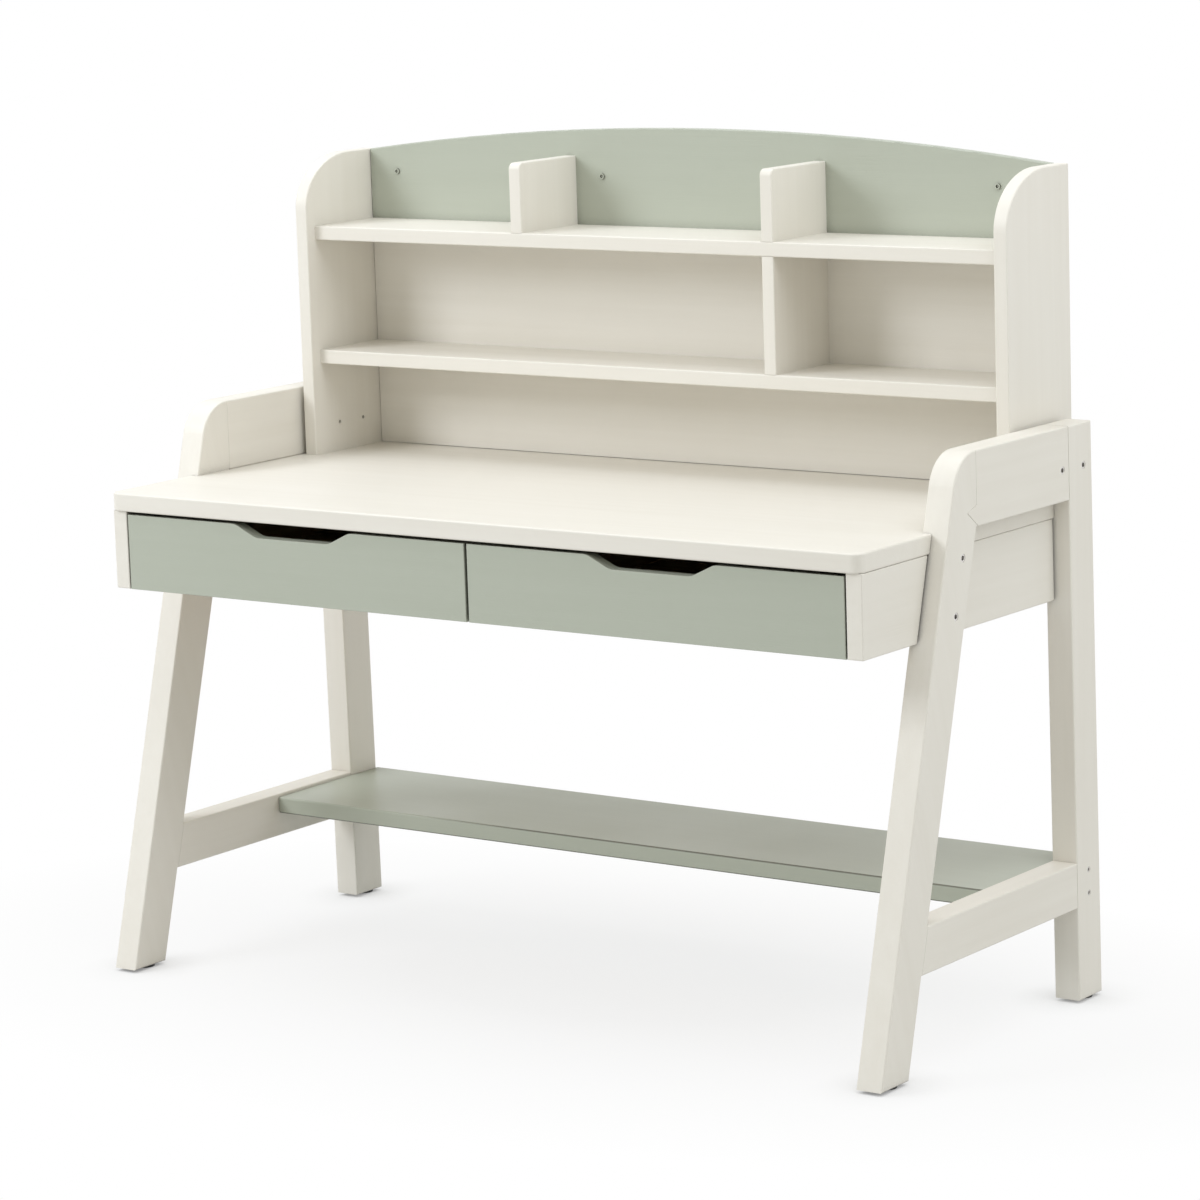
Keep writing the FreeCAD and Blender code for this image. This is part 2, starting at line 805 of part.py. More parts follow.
# Cross pins in the rear legs and screws through them into the foot shelf
leg_pin_height = stretcher_bottom + leg_pin_rise
foot_shelf_screw_height = foot_shelf_top - foot_shelf_screw_drop
pin_place = rear_leg_front(leg_pin_height) + leg_pin_inset
solids, bores = outer_drives(((pin_place, leg_pin_height),), pin_size)
set_in("leg_pins", solids, bores, named("rear_leg"))
screw_place = rear_leg_front(foot_shelf_screw_height) + leg_pin_inset
solids, bores = outer_drives(((screw_place, foot_shelf_screw_height),), shelf_end_screw_size)
set_in("foot_shelf_screws", solids, bores, named("rear_leg") + ["foot_shelf"])


def pegs(name, points, direction, size, hosts):
    solids = [peg(point, direction, size) for point in points]
    bores = [peg_bore(point, direction, size) for point in points]
    set_in(name, solids, bores, hosts)


# Dowels of the arm rails and stretchers
rail_dowel_heights = [arm_top - drop for drop in rail_dowel_drops]
rail_points = []
for side, z in both_sides(rail_dowel_heights):
    rail_points.append(FreeCAD.Vector(side * leg_middle, rail_front, z))
    rail_points.append(FreeCAD.Vector(side * leg_middle, rear_leg_front(z), z))
pegs("rail_dowels", rail_points, backward, stout_dowel, named("front_leg", "arm_rail", "rear_leg"))
stretcher_heights = (stretcher_bottom + stretcher_dowel_inset, stretcher_top - stretcher_dowel_inset)
stretcher_points = []
for side, z in both_sides(stretcher_heights):
    stretcher_points.append(FreeCAD.Vector(side * leg_middle, front_leg_back(z), z))
    stretcher_points.append(FreeCAD.Vector(side * leg_middle, rear_leg_front(z), z))
stretcher_hosts = named("front_leg", "stretcher", "rear_leg")
pegs("stretcher_dowels", stretcher_points, backward, stout_dowel, stretcher_hosts)

# Dowels of the foot shelf, the apron ends and the desktop
shelf_middle = foot_shelf_bottom + foot_shelf_thickness / 2
foot_shelf_dowel_places = share_places(foot_shelf_setback, foot_shelf_back, foot_shelf_dowel_shares)
shelf_points = [
    FreeCAD.Vector(side * frame_inner, y, shelf_middle) for side, y in both_sides(foot_shelf_dowel_places)
]
pegs("foot_shelf_dowels", shelf_points, right, dowel, named("stretcher") + ["foot_shelf"])
apron_heights = (case_bottom + apron_end_dowel_inset, desktop_bottom - apron_end_dowel_inset)
apron_points = [
    FreeCAD.Vector(side * frame_inner, apron_middle, z)
    for side, z in both_sides(apron_heights)
]
pegs("apron_dowels", apron_points, right, stout_dowel, named("rear_leg") + ["rear_apron"])
case_row = (case_inner + frame_inner) / 2
case_dowel_places = share_places(case_setback, apron_setback, case_dowel_shares)
apron_dowel_places = share_places(0, frame_inner, apron_dowel_shares)
desktop_points = [
    FreeCAD.Vector(side * case_row, y, desktop_bottom)
    for side, y in both_sides(case_dowel_places)
]
desktop_points += [FreeCAD.Vector(0, y, desktop_bottom) for y in case_dowel_places]
desktop_points += [
    FreeCAD.Vector(side * x, apron_middle, desktop_bottom) for side, x in both_sides(apron_dowel_places)
]
desktop_hosts = named("case_side") + ["case_partition", "rear_apron", "desktop"]
pegs("desktop_dowels", desktop_points, upward, dowel, desktop_hosts)

# Screws up through the desktop into the hutch sides
hutch_row = (hutch_inner + hutch_half) / 2
rising_screw_places = (hutch_setback + rising_screw_inset, desk_depth - rising_screw_inset)
rising_points = [
    FreeCAD.Vector(side * hutch_row, y, desktop_bottom)
    for side, y in both_sides(rising_screw_places)
]
solids = [screw(point, upward, rising_screw_size) for point in rising_points]
bores = [screw_bore(point, upward, rising_screw_size) for point in rising_points]
set_in("hutch_foot_screws", solids, bores, named("hutch_side") + ["desktop"])

# Dowels of the shelf ends
shelf_dowel_places = (shelf_front + shelf_dowel_inset, back_front - shelf_dowel_inset)
shelf_end_points = [
    FreeCAD.Vector(side * hutch_inner, y, shelf_top - board_thickness / 2)
    for shelf_top in shelf_heights.values()
    for side, y in both_sides(shelf_dowel_places)
]
pegs("shelf_dowels", shelf_end_points, right, short_dowel, named("hutch_side") + list(shelf_heights))

# Dowels of the dividers
peg_lift = short_dowel[1] / 2 - shelf_dowel_depth
divider_dowel_places = (shelf_front + divider_dowel_inset, back_front - divider_dowel_inset)
divider_top_dowel_places = share_places(shelf_front, back_front, divider_top_dowel_shares)
divider_points = []
for y in divider_dowel_places:
    divider_points.append(FreeCAD.Vector(-divider_spread, y, upper_shelf_top + peg_lift))
    divider_points.append(FreeCAD.Vector(divider_spread, y, upper_shelf_top + peg_lift))
    divider_points.append(FreeCAD.Vector(divider_spread, y, middle_shelf_top + peg_lift))
for y in divider_top_dowel_places:
    divider_points.append(FreeCAD.Vector(divider_spread, y, upper_shelf_bottom - peg_lift))
divider_hosts = named("upper_divider") + ["lower_divider", "upper_shelf", "middle_shelf"]
pegs("divider_dowels", divider_points, upward, short_dowel, divider_hosts)

# Screws through the lower back into the middle shelf
back_row = middle_shelf_top - board_thickness / 2
back_screw_places = share_places(0, hutch_inner, back_screw_shares)
back_points = [FreeCAD.Vector(side * x, desk_depth, back_row) for side, x in both_sides(back_screw_places)]
solids = [screw(point, forward, back_screw_size) for point in back_points]
bores = [screw_bore(point, forward, back_screw_size) for point in back_points]
set_in("lower_back_screws", solids, bores, ["lower_back", "middle_shelf"])

# Dowels between the backs and the hutch sides
back_middle = desk_depth - back_thickness / 2
back_dowel_heights = share_places(back_seam, hutch_top, arched_back_dowel_shares)
back_dowel_heights += share_places(back_bottom, back_seam, lower_back_dowel_shares)
back_dowel_points = [
    FreeCAD.Vector(side * hutch_inner, back_middle, z) for side, z in both_sides(back_dowel_heights)
]
back_hosts = named("hutch_side") + ["arched_back", "lower_back"]
pegs("back_dowels", back_dowel_points, right, slim_dowel, back_hosts)

# Round headed screws through the arched back into the batten
arch_screw_places = share_places(0, hutch_inner, arch_screw_shares)
head_diameter, head_height, shank_diameter, shank_length = round_screw_size
solids = []
bores = []
for x in arch_screw_places:
    seat = FreeCAD.Vector(x, back_front, batten_middle)
    crown = seat + forward * head_height
    head = rod(crown, backward, head_diameter, head_height)
    shank = rod(seat, backward, shank_diameter, shank_length)
    socket = hexagon(crown, backward, head_diameter * socket_share, head_height * socket_share)
    solids.append(head.fuse(shank).removeSplitter().cut(socket))
    bores.append(rod(seat, backward, shank_diameter + fit_gap, shank_length + tip_gap))
set_in("arch_screws", solids, bores, ["arched_back", "rear_batten"])

# Screws through the runners into the case sides and the partition
solids = []
bores = []
runner_row = (runner_bottom + runner_top) / 2
runner_screw_places = share_places(runner_start, runner_end, runner_screw_shares)
for y in runner_screw_places:
    for side in (-1, 1):
        outer = FreeCAD.Vector(side * (case_inner - runner_thickness), y, runner_row)
        inner = FreeCAD.Vector(side * (partition_half + runner_thickness), y, runner_row)
        for point, direction in ((outer, right * side), (inner, right * -side)):
            solids.append(screw(point, direction, small_screw_size))
            bores.append(screw_bore(point, direction, small_screw_size))
set_in("runner_screws", solids, bores, named("case_side") + ["case_partition", "drawer_runners"])

# The origin is on the floor, midway between the front feet and the rear batten
middle = (batten_back - front_foot_reach) / 2
os.makedirs("parts", exist_ok=True)
for name, shape in pieces.items():
    shape.translate(forward * middle)
    shape.exportStep("parts/" + name + ".step")
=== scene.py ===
"""Looks of a student desk with a hutch: painted boards, bare drawer wood, steel and a white studio."""
import math

import bmesh
import bpy
from bpy.props import FloatProperty, FloatVectorProperty, PointerProperty
from mathutils import Matrix, Vector


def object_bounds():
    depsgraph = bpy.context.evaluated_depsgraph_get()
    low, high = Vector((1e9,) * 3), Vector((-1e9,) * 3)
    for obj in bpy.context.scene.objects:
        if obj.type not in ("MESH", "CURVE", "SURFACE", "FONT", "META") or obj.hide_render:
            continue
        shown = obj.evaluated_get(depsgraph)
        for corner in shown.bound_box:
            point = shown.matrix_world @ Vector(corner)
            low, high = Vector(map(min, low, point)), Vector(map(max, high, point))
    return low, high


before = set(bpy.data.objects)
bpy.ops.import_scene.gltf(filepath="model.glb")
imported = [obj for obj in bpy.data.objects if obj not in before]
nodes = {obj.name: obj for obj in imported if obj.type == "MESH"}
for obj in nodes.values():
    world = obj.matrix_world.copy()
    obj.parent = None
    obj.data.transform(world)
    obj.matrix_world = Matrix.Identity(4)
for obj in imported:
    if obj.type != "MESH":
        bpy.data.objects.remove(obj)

bl_info = {
    "name": "Student desk with hutch",
    "version": (1, 0, 0),
    "blender": (4, 5, 0),
    "location": "View3D > Sidebar > Student desk",
    "description": "Paints the boards and fittings of a student desk and sets up a white studio",
    "category": "Object",
}

cad_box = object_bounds()

# Grain runs along one of these axes of a board
ACROSS = 0
BACK = 1
UP = 2

# Texture sizes in features per metre, where a pair is along and across the grain
PAINT_STREAKS = (1.6, 46.0)
PAINT_PORES = (14.0, 520.0)
PAINT_MOTTLE = 3.5
ORANGE_PEEL = 620.0
GROWTH_LINES = (2.2, 75.0)
WOOD_PORES = (60.0, 1500.0)
WOOD_FLECKS = (110.0, 700.0)
PLATING_CLOUDS = 240.0
TURNING_MARKS = (4000.0, 500.0)
PLASTIC_SPARK = 2600.0
PLASTIC_SCUFFS = 90.0

# Values of a texture between which its marks grow or fade
STREAK_BAND = (0.34, 0.68)
PORE_BAND = (0.25, 0.5)
LINE_BAND = (0.36, 0.66)
FLECK_BAND = (0.05, 0.28)
SCUFF_BAND = (0.4, 0.75)
SOFT_BAND = (0.3, 0.7)

# Shares of the textures in the tone and in the surface of a finish
STREAK_SHARE = 0.65
MOTTLE_SHARE = 0.35
PEEL_SHARE = 0.35
FLECK_SHARE = 0.35

# Tone of the clouds in the plating and of the scuffs on the plastic, as a multiple of the colour
CLOUD_TONE = 0.72
SCUFF_TONE = 2.2

# Roughness, and how far it changes from the shiny to the dull places of a board
LACQUER_ROUGHNESS = 0.42
RUNNER_ROUGHNESS = 0.5
DOWEL_ROUGHNESS = 0.6
STEEL_ROUGHNESS = (0.28, 0.46)
PLASTIC_ROUGHNESS = (0.42, 0.6)
PAINT_GLOSS = (-0.04, 0.05)
WOOD_GLOSS = (-0.05, 0.06)

# Strength of the bumps, depth of the marks on the fittings in metres, and refraction
PAINT_BUMP = 0.6
WOOD_BUMP = 0.7
FITTING_BUMP = 0.5
TURNING_DEPTH = 0.00003
SPARK_DEPTH = 0.00004
PAINT_IOR = 1.48
WOOD_IOR = 1.5

# Share of open space over a surface, from deep inside to the rim of a joint or socket, and on a free face,
# which places the painted shade
JOINT = (0.12, 0.42)
SOCKET = (0.55, 0.85)
ON_FACE = 1.0
SPACE_SAMPLES = 4

# Depth part times height part of a surface's normal, where a rounded front edge begins and near its middle,
# which places painted shade and a painted dark reflection on it
NOSE_SHADE_BAND = (0.15, 0.42)

# Longest shift of the textures between two boards, in metres
BOARD_SHIFT = (7.3, 11.9, 17.1)

# Stage: corners of the floor disc, width of the camera's picture in millimetres and its sight in metres
FLOOR_CORNERS = 96
PICTURE_WIDTH = 36.0
CAMERA_SIGHT = 100.0
WHITE = (1.0, 1.0, 1.0)


def both(*endings):
    """The left and right pieces of these names."""
    return [side + ending for side in ("left_", "right_") for ending in endings]


class PaintSettings(bpy.types.PropertyGroup):
    """Colours and textures of the painted boards"""

    cream: FloatVectorProperty(
        name="Cream", description="Colour of the frames, desktop and hutch",
        subtype="COLOR", size=3, min=0.0, max=1.0, default=(0.84, 0.808, 0.742),
    )
    cream_shade: FloatVectorProperty(
        name="Cream shade", description="Colour of the cream paint where the grain shows through",
        subtype="COLOR", size=3, min=0.0, max=1.0, default=(0.805, 0.77, 0.699),
    )
    sage: FloatVectorProperty(
        name="Sage", description="Colour of the drawer fronts, arched back and foot shelf",
        subtype="COLOR", size=3, min=0.0, max=1.0, default=(0.48, 0.508, 0.432),
    )
    sage_shade: FloatVectorProperty(
        name="Sage shade", description="Colour of the sage paint where the grain shows through",
        subtype="COLOR", size=3, min=0.0, max=1.0, default=(0.462, 0.489, 0.413),
    )
    cream_roughness: FloatProperty(
        name="Cream roughness", description="Gloss of the cream paint, from mirror to chalk",
        subtype="FACTOR", min=0.0, max=1.0, default=0.46,
    )
    sage_roughness: FloatProperty(
        name="Sage roughness", description="Gloss of the sage paint, from mirror to chalk",
        subtype="FACTOR", min=0.0, max=1.0, default=0.34,
    )
    grain_depth: FloatProperty(
        name="Grain depth", description="Depth of the pores that the paint or lacquer doesn't fill",
        unit="LENGTH", min=0.0, default=0.00009,
    )
    cream_sheen: FloatProperty(
        name="Cream sheen", description="Strength of the reflections on the cream paint",
        subtype="FACTOR", min=0.0, max=1.0, default=0.5,
    )
    sage_sheen: FloatProperty(
        name="Sage sheen", description="Strength of the reflections on the sage paint",
        subtype="FACTOR", min=0.0, max=1.0, default=0.25,
    )
    # Painted shade: the next five settings darken the colour in gaps, seams, sockets and inside corners,
    # where shadow falls
    painted_shade_reach: FloatProperty(
        name="Joint reach", description="Distance from another board at which a surface begins to darken",
        unit="LENGTH", min=0.0, default=0.03,
    )
    painted_shade_colour: FloatVectorProperty(
        name="Joint shade", description="Colour that a surface turns to deep in a joint",
        subtype="COLOR", size=3, min=0.0, max=1.0, default=(0.035, 0.027, 0.015),
    )
    painted_gap_shade: FloatProperty(
        name="Open joint", description="Share of the colour that is left in open gaps and in sockets",
        subtype="FACTOR", min=0.0, max=1.0, default=0.1,
    )
    painted_seam_shade: FloatProperty(
        name="Tight joint", description="Share of the colour that is left in the closed joints",
        subtype="FACTOR", min=0.0, max=1.0, default=0.85,
    )
    painted_corner_shade: FloatProperty(
        name="Corner tone", description="Share of the colour that is left in an inside corner",
        subtype="FACTOR", min=0.0, max=1.0, default=0.95,
    )
    # Painted shade on the foot shelf's lower front edge and a painted dark reflection on its upper one
    painted_nose_shade: FloatProperty(
        name="Nose tone", description="Share of the colour that is left on the foot shelf's front edges",
        subtype="FACTOR", min=0.0, max=1.0, default=0.36,
    )
    painted_reflection_pale_end: FloatProperty(
        name="Nose pale end", description="Place from the middle up to which the upper edge stays pale",
        unit="LENGTH", default=-0.4,
    )
    painted_reflection_dark_start: FloatProperty(
        name="Nose dark start", description="Place from the middle from which the upper edge is dark",
        unit="LENGTH", default=-0.15,
    )
    front_leg_lean: FloatProperty(
        name="Front leg lean", description="Angle of the front legs' grain from upright",
        subtype="ANGLE", default=math.radians(15.2),
    )


class FittingSettings(bpy.types.PropertyGroup):
    """Colours of the bare wood, the steel and the glides"""

    birch: FloatVectorProperty(
        name="Birch", description="Colour of the lacquered drawer boxes",
        subtype="COLOR", size=3, min=0.0, max=1.0, default=(0.70, 0.56, 0.38),
    )
    birch_figure: FloatVectorProperty(
        name="Birch figure", description="Colour of the dark lines in the drawer boxes",
        subtype="COLOR", size=3, min=0.0, max=1.0, default=(0.56, 0.41, 0.25),
    )
    beech: FloatVectorProperty(
        name="Beech", description="Colour of the runners, stops and dowels",
        subtype="COLOR", size=3, min=0.0, max=1.0, default=(0.56, 0.37, 0.22),
    )
    beech_figure: FloatVectorProperty(
        name="Beech figure", description="Colour of the dark lines in the runners and dowels",
        subtype="COLOR", size=3, min=0.0, max=1.0, default=(0.40, 0.24, 0.13),
    )
    steel: FloatVectorProperty(
        name="Steel", description="Colour of the bolts and screws",
        subtype="COLOR", size=3, min=0.0, max=1.0, default=(0.82, 0.80, 0.76),
    )
    glide: FloatVectorProperty(
        name="Glide", description="Colour of the glides under the feet",
        subtype="COLOR", size=3, min=0.0, max=1.0, default=(0.018, 0.018, 0.019),
    )


class StageSettings(bpy.types.PropertyGroup):
    """The floor, the lamps and the camera"""

    floor_colour: FloatVectorProperty(
        name="Floor", description="Colour of the studio floor",
        subtype="COLOR", size=3, min=0.0, max=1.0, default=(0.70, 0.70, 0.70),
    )
    floor_radius: FloatProperty(
        name="Floor radius", description="Reach of the floor disc", unit="LENGTH", min=1.0, default=9.0,
    )
    floor_white: FloatProperty(
        name="Floor white", description="Share of plain white in the floor at the desk, to thin the shadow",
        subtype="FACTOR", min=0.0, max=1.0, default=0.77,
    )
    # Painted contact shadow: the next two settings darken the floor close under the feet
    contact_shadow_white: FloatProperty(
        name="Contact white", description="Share of that white which is left close under the feet",
        subtype="FACTOR", min=0.0, max=1.0, default=0.2,
    )
    contact_shadow_reach: FloatProperty(
        name="Contact reach", description="Distance from a foot at which its contact shadow ends",
        unit="LENGTH", min=0.0, default=0.08,
    )
    fade_start: FloatProperty(
        name="Fade start", description="Distance at which the floor begins to turn plain white",
        unit="LENGTH", min=0.0, default=0.2,
    )
    fade_end: FloatProperty(
        name="Fade end", description="Distance at which the floor is plain white",
        unit="LENGTH", min=0.0, default=0.8,
    )
    fade_spread: FloatVectorProperty(
        name="Fade spread", description="Share of each distance that counts for the fade",
        subtype="XYZ", size=3, default=(0.6, 1.0, 1.0),
    )
    sky: FloatProperty(
        name="Sky", description="Strength of the even light from all round", min=0.0, default=0.56,
    )
    sky_colour: FloatVectorProperty(
        name="Sky colour", description="Colour of the even light",
        subtype="COLOR", size=3, min=0.0, max=1.0, default=(1.0, 1.0, 0.92),
    )
    lamp_colour: FloatVectorProperty(
        name="Lamp colour", description="Colour of the lamps",
        subtype="COLOR", size=3, min=0.0, max=1.0, default=(0.91, 0.94, 1.0),
    )
    key_power: FloatProperty(
        name="Key power", description="Power of the large lamp at the front left",
        unit="POWER", min=0.0, default=94.0,
    )
    key_place: FloatVectorProperty(
        name="Key place", description="Place of the large lamp at the front left",
        subtype="XYZ", unit="LENGTH", size=3, default=(-2.7, -3.2, 3.0),
    )
    key_size: FloatProperty(
        name="Key size", description="Width of the large lamp at the front left",
        unit="LENGTH", min=0.1, default=1.8,
    )
    left_power: FloatProperty(
        name="Left power", description="Power of the soft lamp at the top left",
        unit="POWER", min=0.0, default=24.0,
    )
    left_place: FloatVectorProperty(
        name="Left place", description="Place of the soft lamp at the top left",
        subtype="XYZ", unit="LENGTH", size=3, default=(-1.6, 0.2, 3.4),
    )
    left_size: FloatProperty(
        name="Left size", description="Width of the soft lamp at the top left",
        unit="LENGTH", min=0.1, default=2.0,
    )
    right_power: FloatProperty(
        name="Right power", description="Power of the soft lamp at the top right",
        unit="POWER", min=0.0, default=38.0,
    )
    right_place: FloatVectorProperty(
        name="Right place", description="Place of the soft lamp at the top right",
        subtype="XYZ", unit="LENGTH", size=3, default=(1.8, -0.5, 3.4),
    )
    right_size: FloatProperty(
        name="Right size", description="Width of the soft lamp at the top right",
        unit="LENGTH", min=0.1, default=2.2,
    )
    rear_power: FloatProperty(
        name="Rear power", description="Power of the weak lamp behind on the right",
        unit="POWER", min=0.0, default=24.0,
    )
    rear_place: FloatVectorProperty(
        name="Rear place", description="Place of the weak lamp behind on the right",
        subtype="XYZ", unit="LENGTH", size=3, default=(4.2, 1.8, 2.0),
    )
    rear_size: FloatProperty(
        name="Rear size", description="Width of the weak lamp behind on the right",
        unit="LENGTH", min=0.1, default=2.0,
    )
    camera_place: FloatVectorProperty(
        name="Camera place", description="Place of the camera",
        subtype="XYZ", unit="LENGTH", size=3, default=(3.8408, -5.2759, 1.7408),
    )
    camera_azimuth: FloatProperty(
        name="Azimuth", description="Turn of the view to the right of the desk's front",
        subtype="ANGLE", default=math.radians(35.941),
    )
    camera_elevation: FloatProperty(
        name="Elevation", description="Tilt of the view below level",
        subtype="ANGLE", default=math.radians(10.045),
    )
    camera_roll: FloatProperty(
        name="Roll", description="Turn of the picture about the view",
        subtype="ANGLE", default=math.radians(1.861),
    )
    lens: FloatProperty(
        name="Lens", description="Lens length on a 36 mm wide picture",
        unit="CAMERA", min=1.0, default=132.951,
    )


def wire(tree, kind, inputs=None, **settings):
    """Adds a shader node. An input is a value, or the output of another node."""
    node = tree.nodes.new(kind)
    for name, value in settings.items():
        setattr(node, name, value)
    for name, value in (inputs or {}).items():
        if isinstance(value, bpy.types.NodeSocket):
            tree.links.new(value, node.inputs[name])
        else:
            node.inputs[name].default_value = value
    return node


def opaque(colour):
    """The colour as a shader takes it, with nothing see-through."""
    return (*colour, 1.0)


def toned(colour, share):
    """The colour, lighter or darker by this share."""
    return [share * part for part in colour]


def set_surface(tree, shader):
    """Makes this shader the material's surface."""
    wire(tree, "ShaderNodeOutputMaterial", {"Surface": shader.outputs[0]})


def empty_material(name):
    """A material whose nodes are still to be made."""
    material = bpy.data.materials.new(name)
    material.use_nodes = True
    material.node_tree.nodes.clear()
    return material


def board_place(tree, lean=0.0):
    """A point on the board, moved by a different amount on each board so that no two look alike."""
    coordinates = wire(tree, "ShaderNodeTexCoord").outputs["Object"]
    chance = wire(tree, "ShaderNodeObjectInfo").outputs["Random"]
    shift = wire(tree, "ShaderNodeVectorMath", {0: BOARD_SHIFT, "Scale": chance}, operation="SCALE")
    turned = wire(tree, "ShaderNodeMapping", {"Vector": coordinates, "Rotation": (lean, 0.0, 0.0)})
    return wire(tree, "ShaderNodeVectorMath", {0: turned.outputs[0], 1: shift.outputs[0]}).outputs[0]


def along_grain(tree, place, grain, density):
    """Stretches the texture along the grain."""
    along, across = density
    scale = [across, across, across]
    scale[grain] = along
    return wire(tree, "ShaderNodeMapping", {"Vector": place, "Scale": scale}).outputs[0]


def noise(tree, place, scale=1.0, detail=3.0, roughness=0.55):
    """Soft marks with values about one half."""
    settings = {"Vector": place, "Scale": scale, "Detail": detail, "Roughness": roughness}
    return wire(tree, "ShaderNodeTexNoise", settings).outputs["Fac"]


def spread(tree, value, band, result=(0.0, 1.0)):
    """Stretches a band of values over the result's two ends, and stays at an end outside the band."""
    settings = {"Value": value, "From Min": band[0], "From Max": band[1]}
    settings |= {"To Min": result[0], "To Max": result[1]}
    return wire(tree, "ShaderNodeMapRange", settings).outputs[0]


def varied(tree, texture, middle, change):
    """A value that follows the texture to both sides of its middle."""
    less, more = change
    return spread(tree, texture, SOFT_BAND, (middle + less, middle + more))


def sum_of(tree, first, second):
    return wire(tree, "ShaderNodeMath", {0: first, 1: second}, operation="ADD").outputs[0]


def times(tree, value, factor):
    return wire(tree, "ShaderNodeMath", {0: value, 1: factor}, operation="MULTIPLY").outputs[0]


def larger(tree, first, second):
    return wire(tree, "ShaderNodeMath", {0: first, 1: second}, operation="MAXIMUM").outputs[0]


def mixed(tree, share, first, second):
    """Mixes two colours, each a colour or the output of another node."""
    node = wire(tree, "ShaderNodeMix", {0: share}, data_type="RGBA")
    for socket, colour in ((node.inputs[6], first), (node.inputs[7], second)):
        if isinstance(colour, bpy.types.NodeSocket):
            tree.links.new(colour, socket)
        else:
            socket.default_value = opaque(colour)
    return node.outputs[2]


def bumps(tree, height, depth, strength):
    """Fine relief of this depth."""
    settings = {"Height": height, "Distance": depth, "Strength": strength}
    return wire(tree, "ShaderNodeBump", settings).outputs[0]


def open_space(tree, reach):
    """One on a free face, near zero deep in a joint."""
    near = {"Distance": reach}
    return wire(tree, "ShaderNodeAmbientOcclusion", near, samples=SPACE_SAMPLES).outputs["AO"]


def add_painted_crevice_shade(tree, paint, colour, joint, hollow=JOINT):
    """The colour with painted shade where another board is close. Deep in a hollow, only the joint's share
    is left.
    """
    rim = hollow[1]
    space = open_space(tree, paint.painted_shade_reach)
    # Painted shade: deep in gaps and seams, and lighter in inside corners
    shade_in_gap = spread(tree, space, hollow, (joint, 1.0))
    corner = spread(tree, space, (rim, ON_FACE), (paint.painted_corner_shade, 1.0))
    return mixed(tree, times(tree, shade_in_gap, corner), paint.painted_shade_colour, colour)


def add_nose_shade_and_reflection(tree, paint, colour):
    """The colour with painted shade on the lower rounded front edge and a painted dark reflection on the
    upper one. The upper one stays pale at its left end.
    """
    normal = wire(tree, "ShaderNodeNewGeometry").outputs["Normal"]
    facing = wire(tree, "ShaderNodeSeparateXYZ", {"Vector": normal}).outputs
    slant = times(tree, facing["Y"], facing["Z"])
    lower = spread(tree, slant, NOSE_SHADE_BAND, (1.0, paint.painted_nose_shade))
    upper = spread(tree, slant, [-value for value in NOSE_SHADE_BAND])
    place = wire(tree, "ShaderNodeTexCoord").outputs["Object"]
    along = wire(tree, "ShaderNodeSeparateXYZ", {"Vector": place}).outputs["X"]
    dark = times(tree, upper, spread(tree, along, (paint.painted_reflection_pale_end, paint.painted_reflection_dark_start)))
    kept = times(tree, lower, spread(tree, dark, (0.0, 1.0), (1.0, paint.painted_nose_shade)))
    return mixed(tree, kept, paint.painted_shade_colour, colour)


def painted_wood(
    paint, name, colour, shade, roughness, sheen, grain, joint, lean=0.0, with_nose_shade=False, hollow=JOINT
):
    """Satin paint over wood: faint streaks and pores along the grain, a fine orange peel on top."""
    material = empty_material(name)
    tree = material.node_tree
    place = board_place(tree, lean)
    streaks = noise(tree, along_grain(tree, place, grain, PAINT_STREAKS), detail=5.0, roughness=0.6)
    pores = noise(tree, along_grain(tree, place, grain, PAINT_PORES), detail=2.0)
    mottle = noise(tree, place, PAINT_MOTTLE, detail=2.0)
    peel = noise(tree, place, ORANGE_PEEL, detail=2.0)
    tone = sum_of(tree, times(tree, streaks, STREAK_SHARE), times(tree, mottle, MOTTLE_SHARE))
    base = mixed(tree, spread(tree, tone, STREAK_BAND), colour, shade)
    # Painted shade and a painted dark reflection on the rounded front edges
    if with_nose_shade:
        base = add_nose_shade_and_reflection(tree, paint, base)
    height = sum_of(tree, spread(tree, pores, PORE_BAND), times(tree, peel, PEEL_SHARE))
    shader = wire(tree, "ShaderNodeBsdfPrincipled", {
        # Painted shade in the joints and inside corners, as dark as the joint share
        "Base Color": add_painted_crevice_shade(tree, paint, base, joint, hollow),
        "Roughness": varied(tree, mottle, roughness, PAINT_GLOSS),
        "Normal": bumps(tree, height, paint.grain_depth, PAINT_BUMP),
        "IOR": PAINT_IOR,
        "Specular IOR Level": sheen,
    })
    set_surface(tree, shader)
    return material


def bare_wood(name, colour, figure, roughness, depth, grain):
    """Lacquered or bare wood with growth lines, fine pores and short dark flecks along the grain."""
    material = empty_material(name)
    tree = material.node_tree
    place = board_place(tree)
    lines = noise(tree, along_grain(tree, place, grain, GROWTH_LINES), detail=7.0, roughness=0.62)
    pores = noise(tree, along_grain(tree, place, grain, WOOD_PORES), detail=2.0)
    cells = {"Vector": along_grain(tree, place, grain, WOOD_FLECKS), "Scale": 1.0}
    flecks = wire(tree, "ShaderNodeTexVoronoi", cells).outputs["Distance"]
    figured = mixed(tree, spread(tree, lines, LINE_BAND), colour, figure)
    flecked = mixed(tree, spread(tree, flecks, FLECK_BAND, (FLECK_SHARE, 0.0)), figured, figure)
    shader = wire(tree, "ShaderNodeBsdfPrincipled", {
        "Base Color": flecked,
        "Roughness": varied(tree, lines, roughness, WOOD_GLOSS),
        "Normal": bumps(tree, pores, depth, WOOD_BUMP),
        "IOR": WOOD_IOR,
    })
    set_surface(tree, shader)
    return material


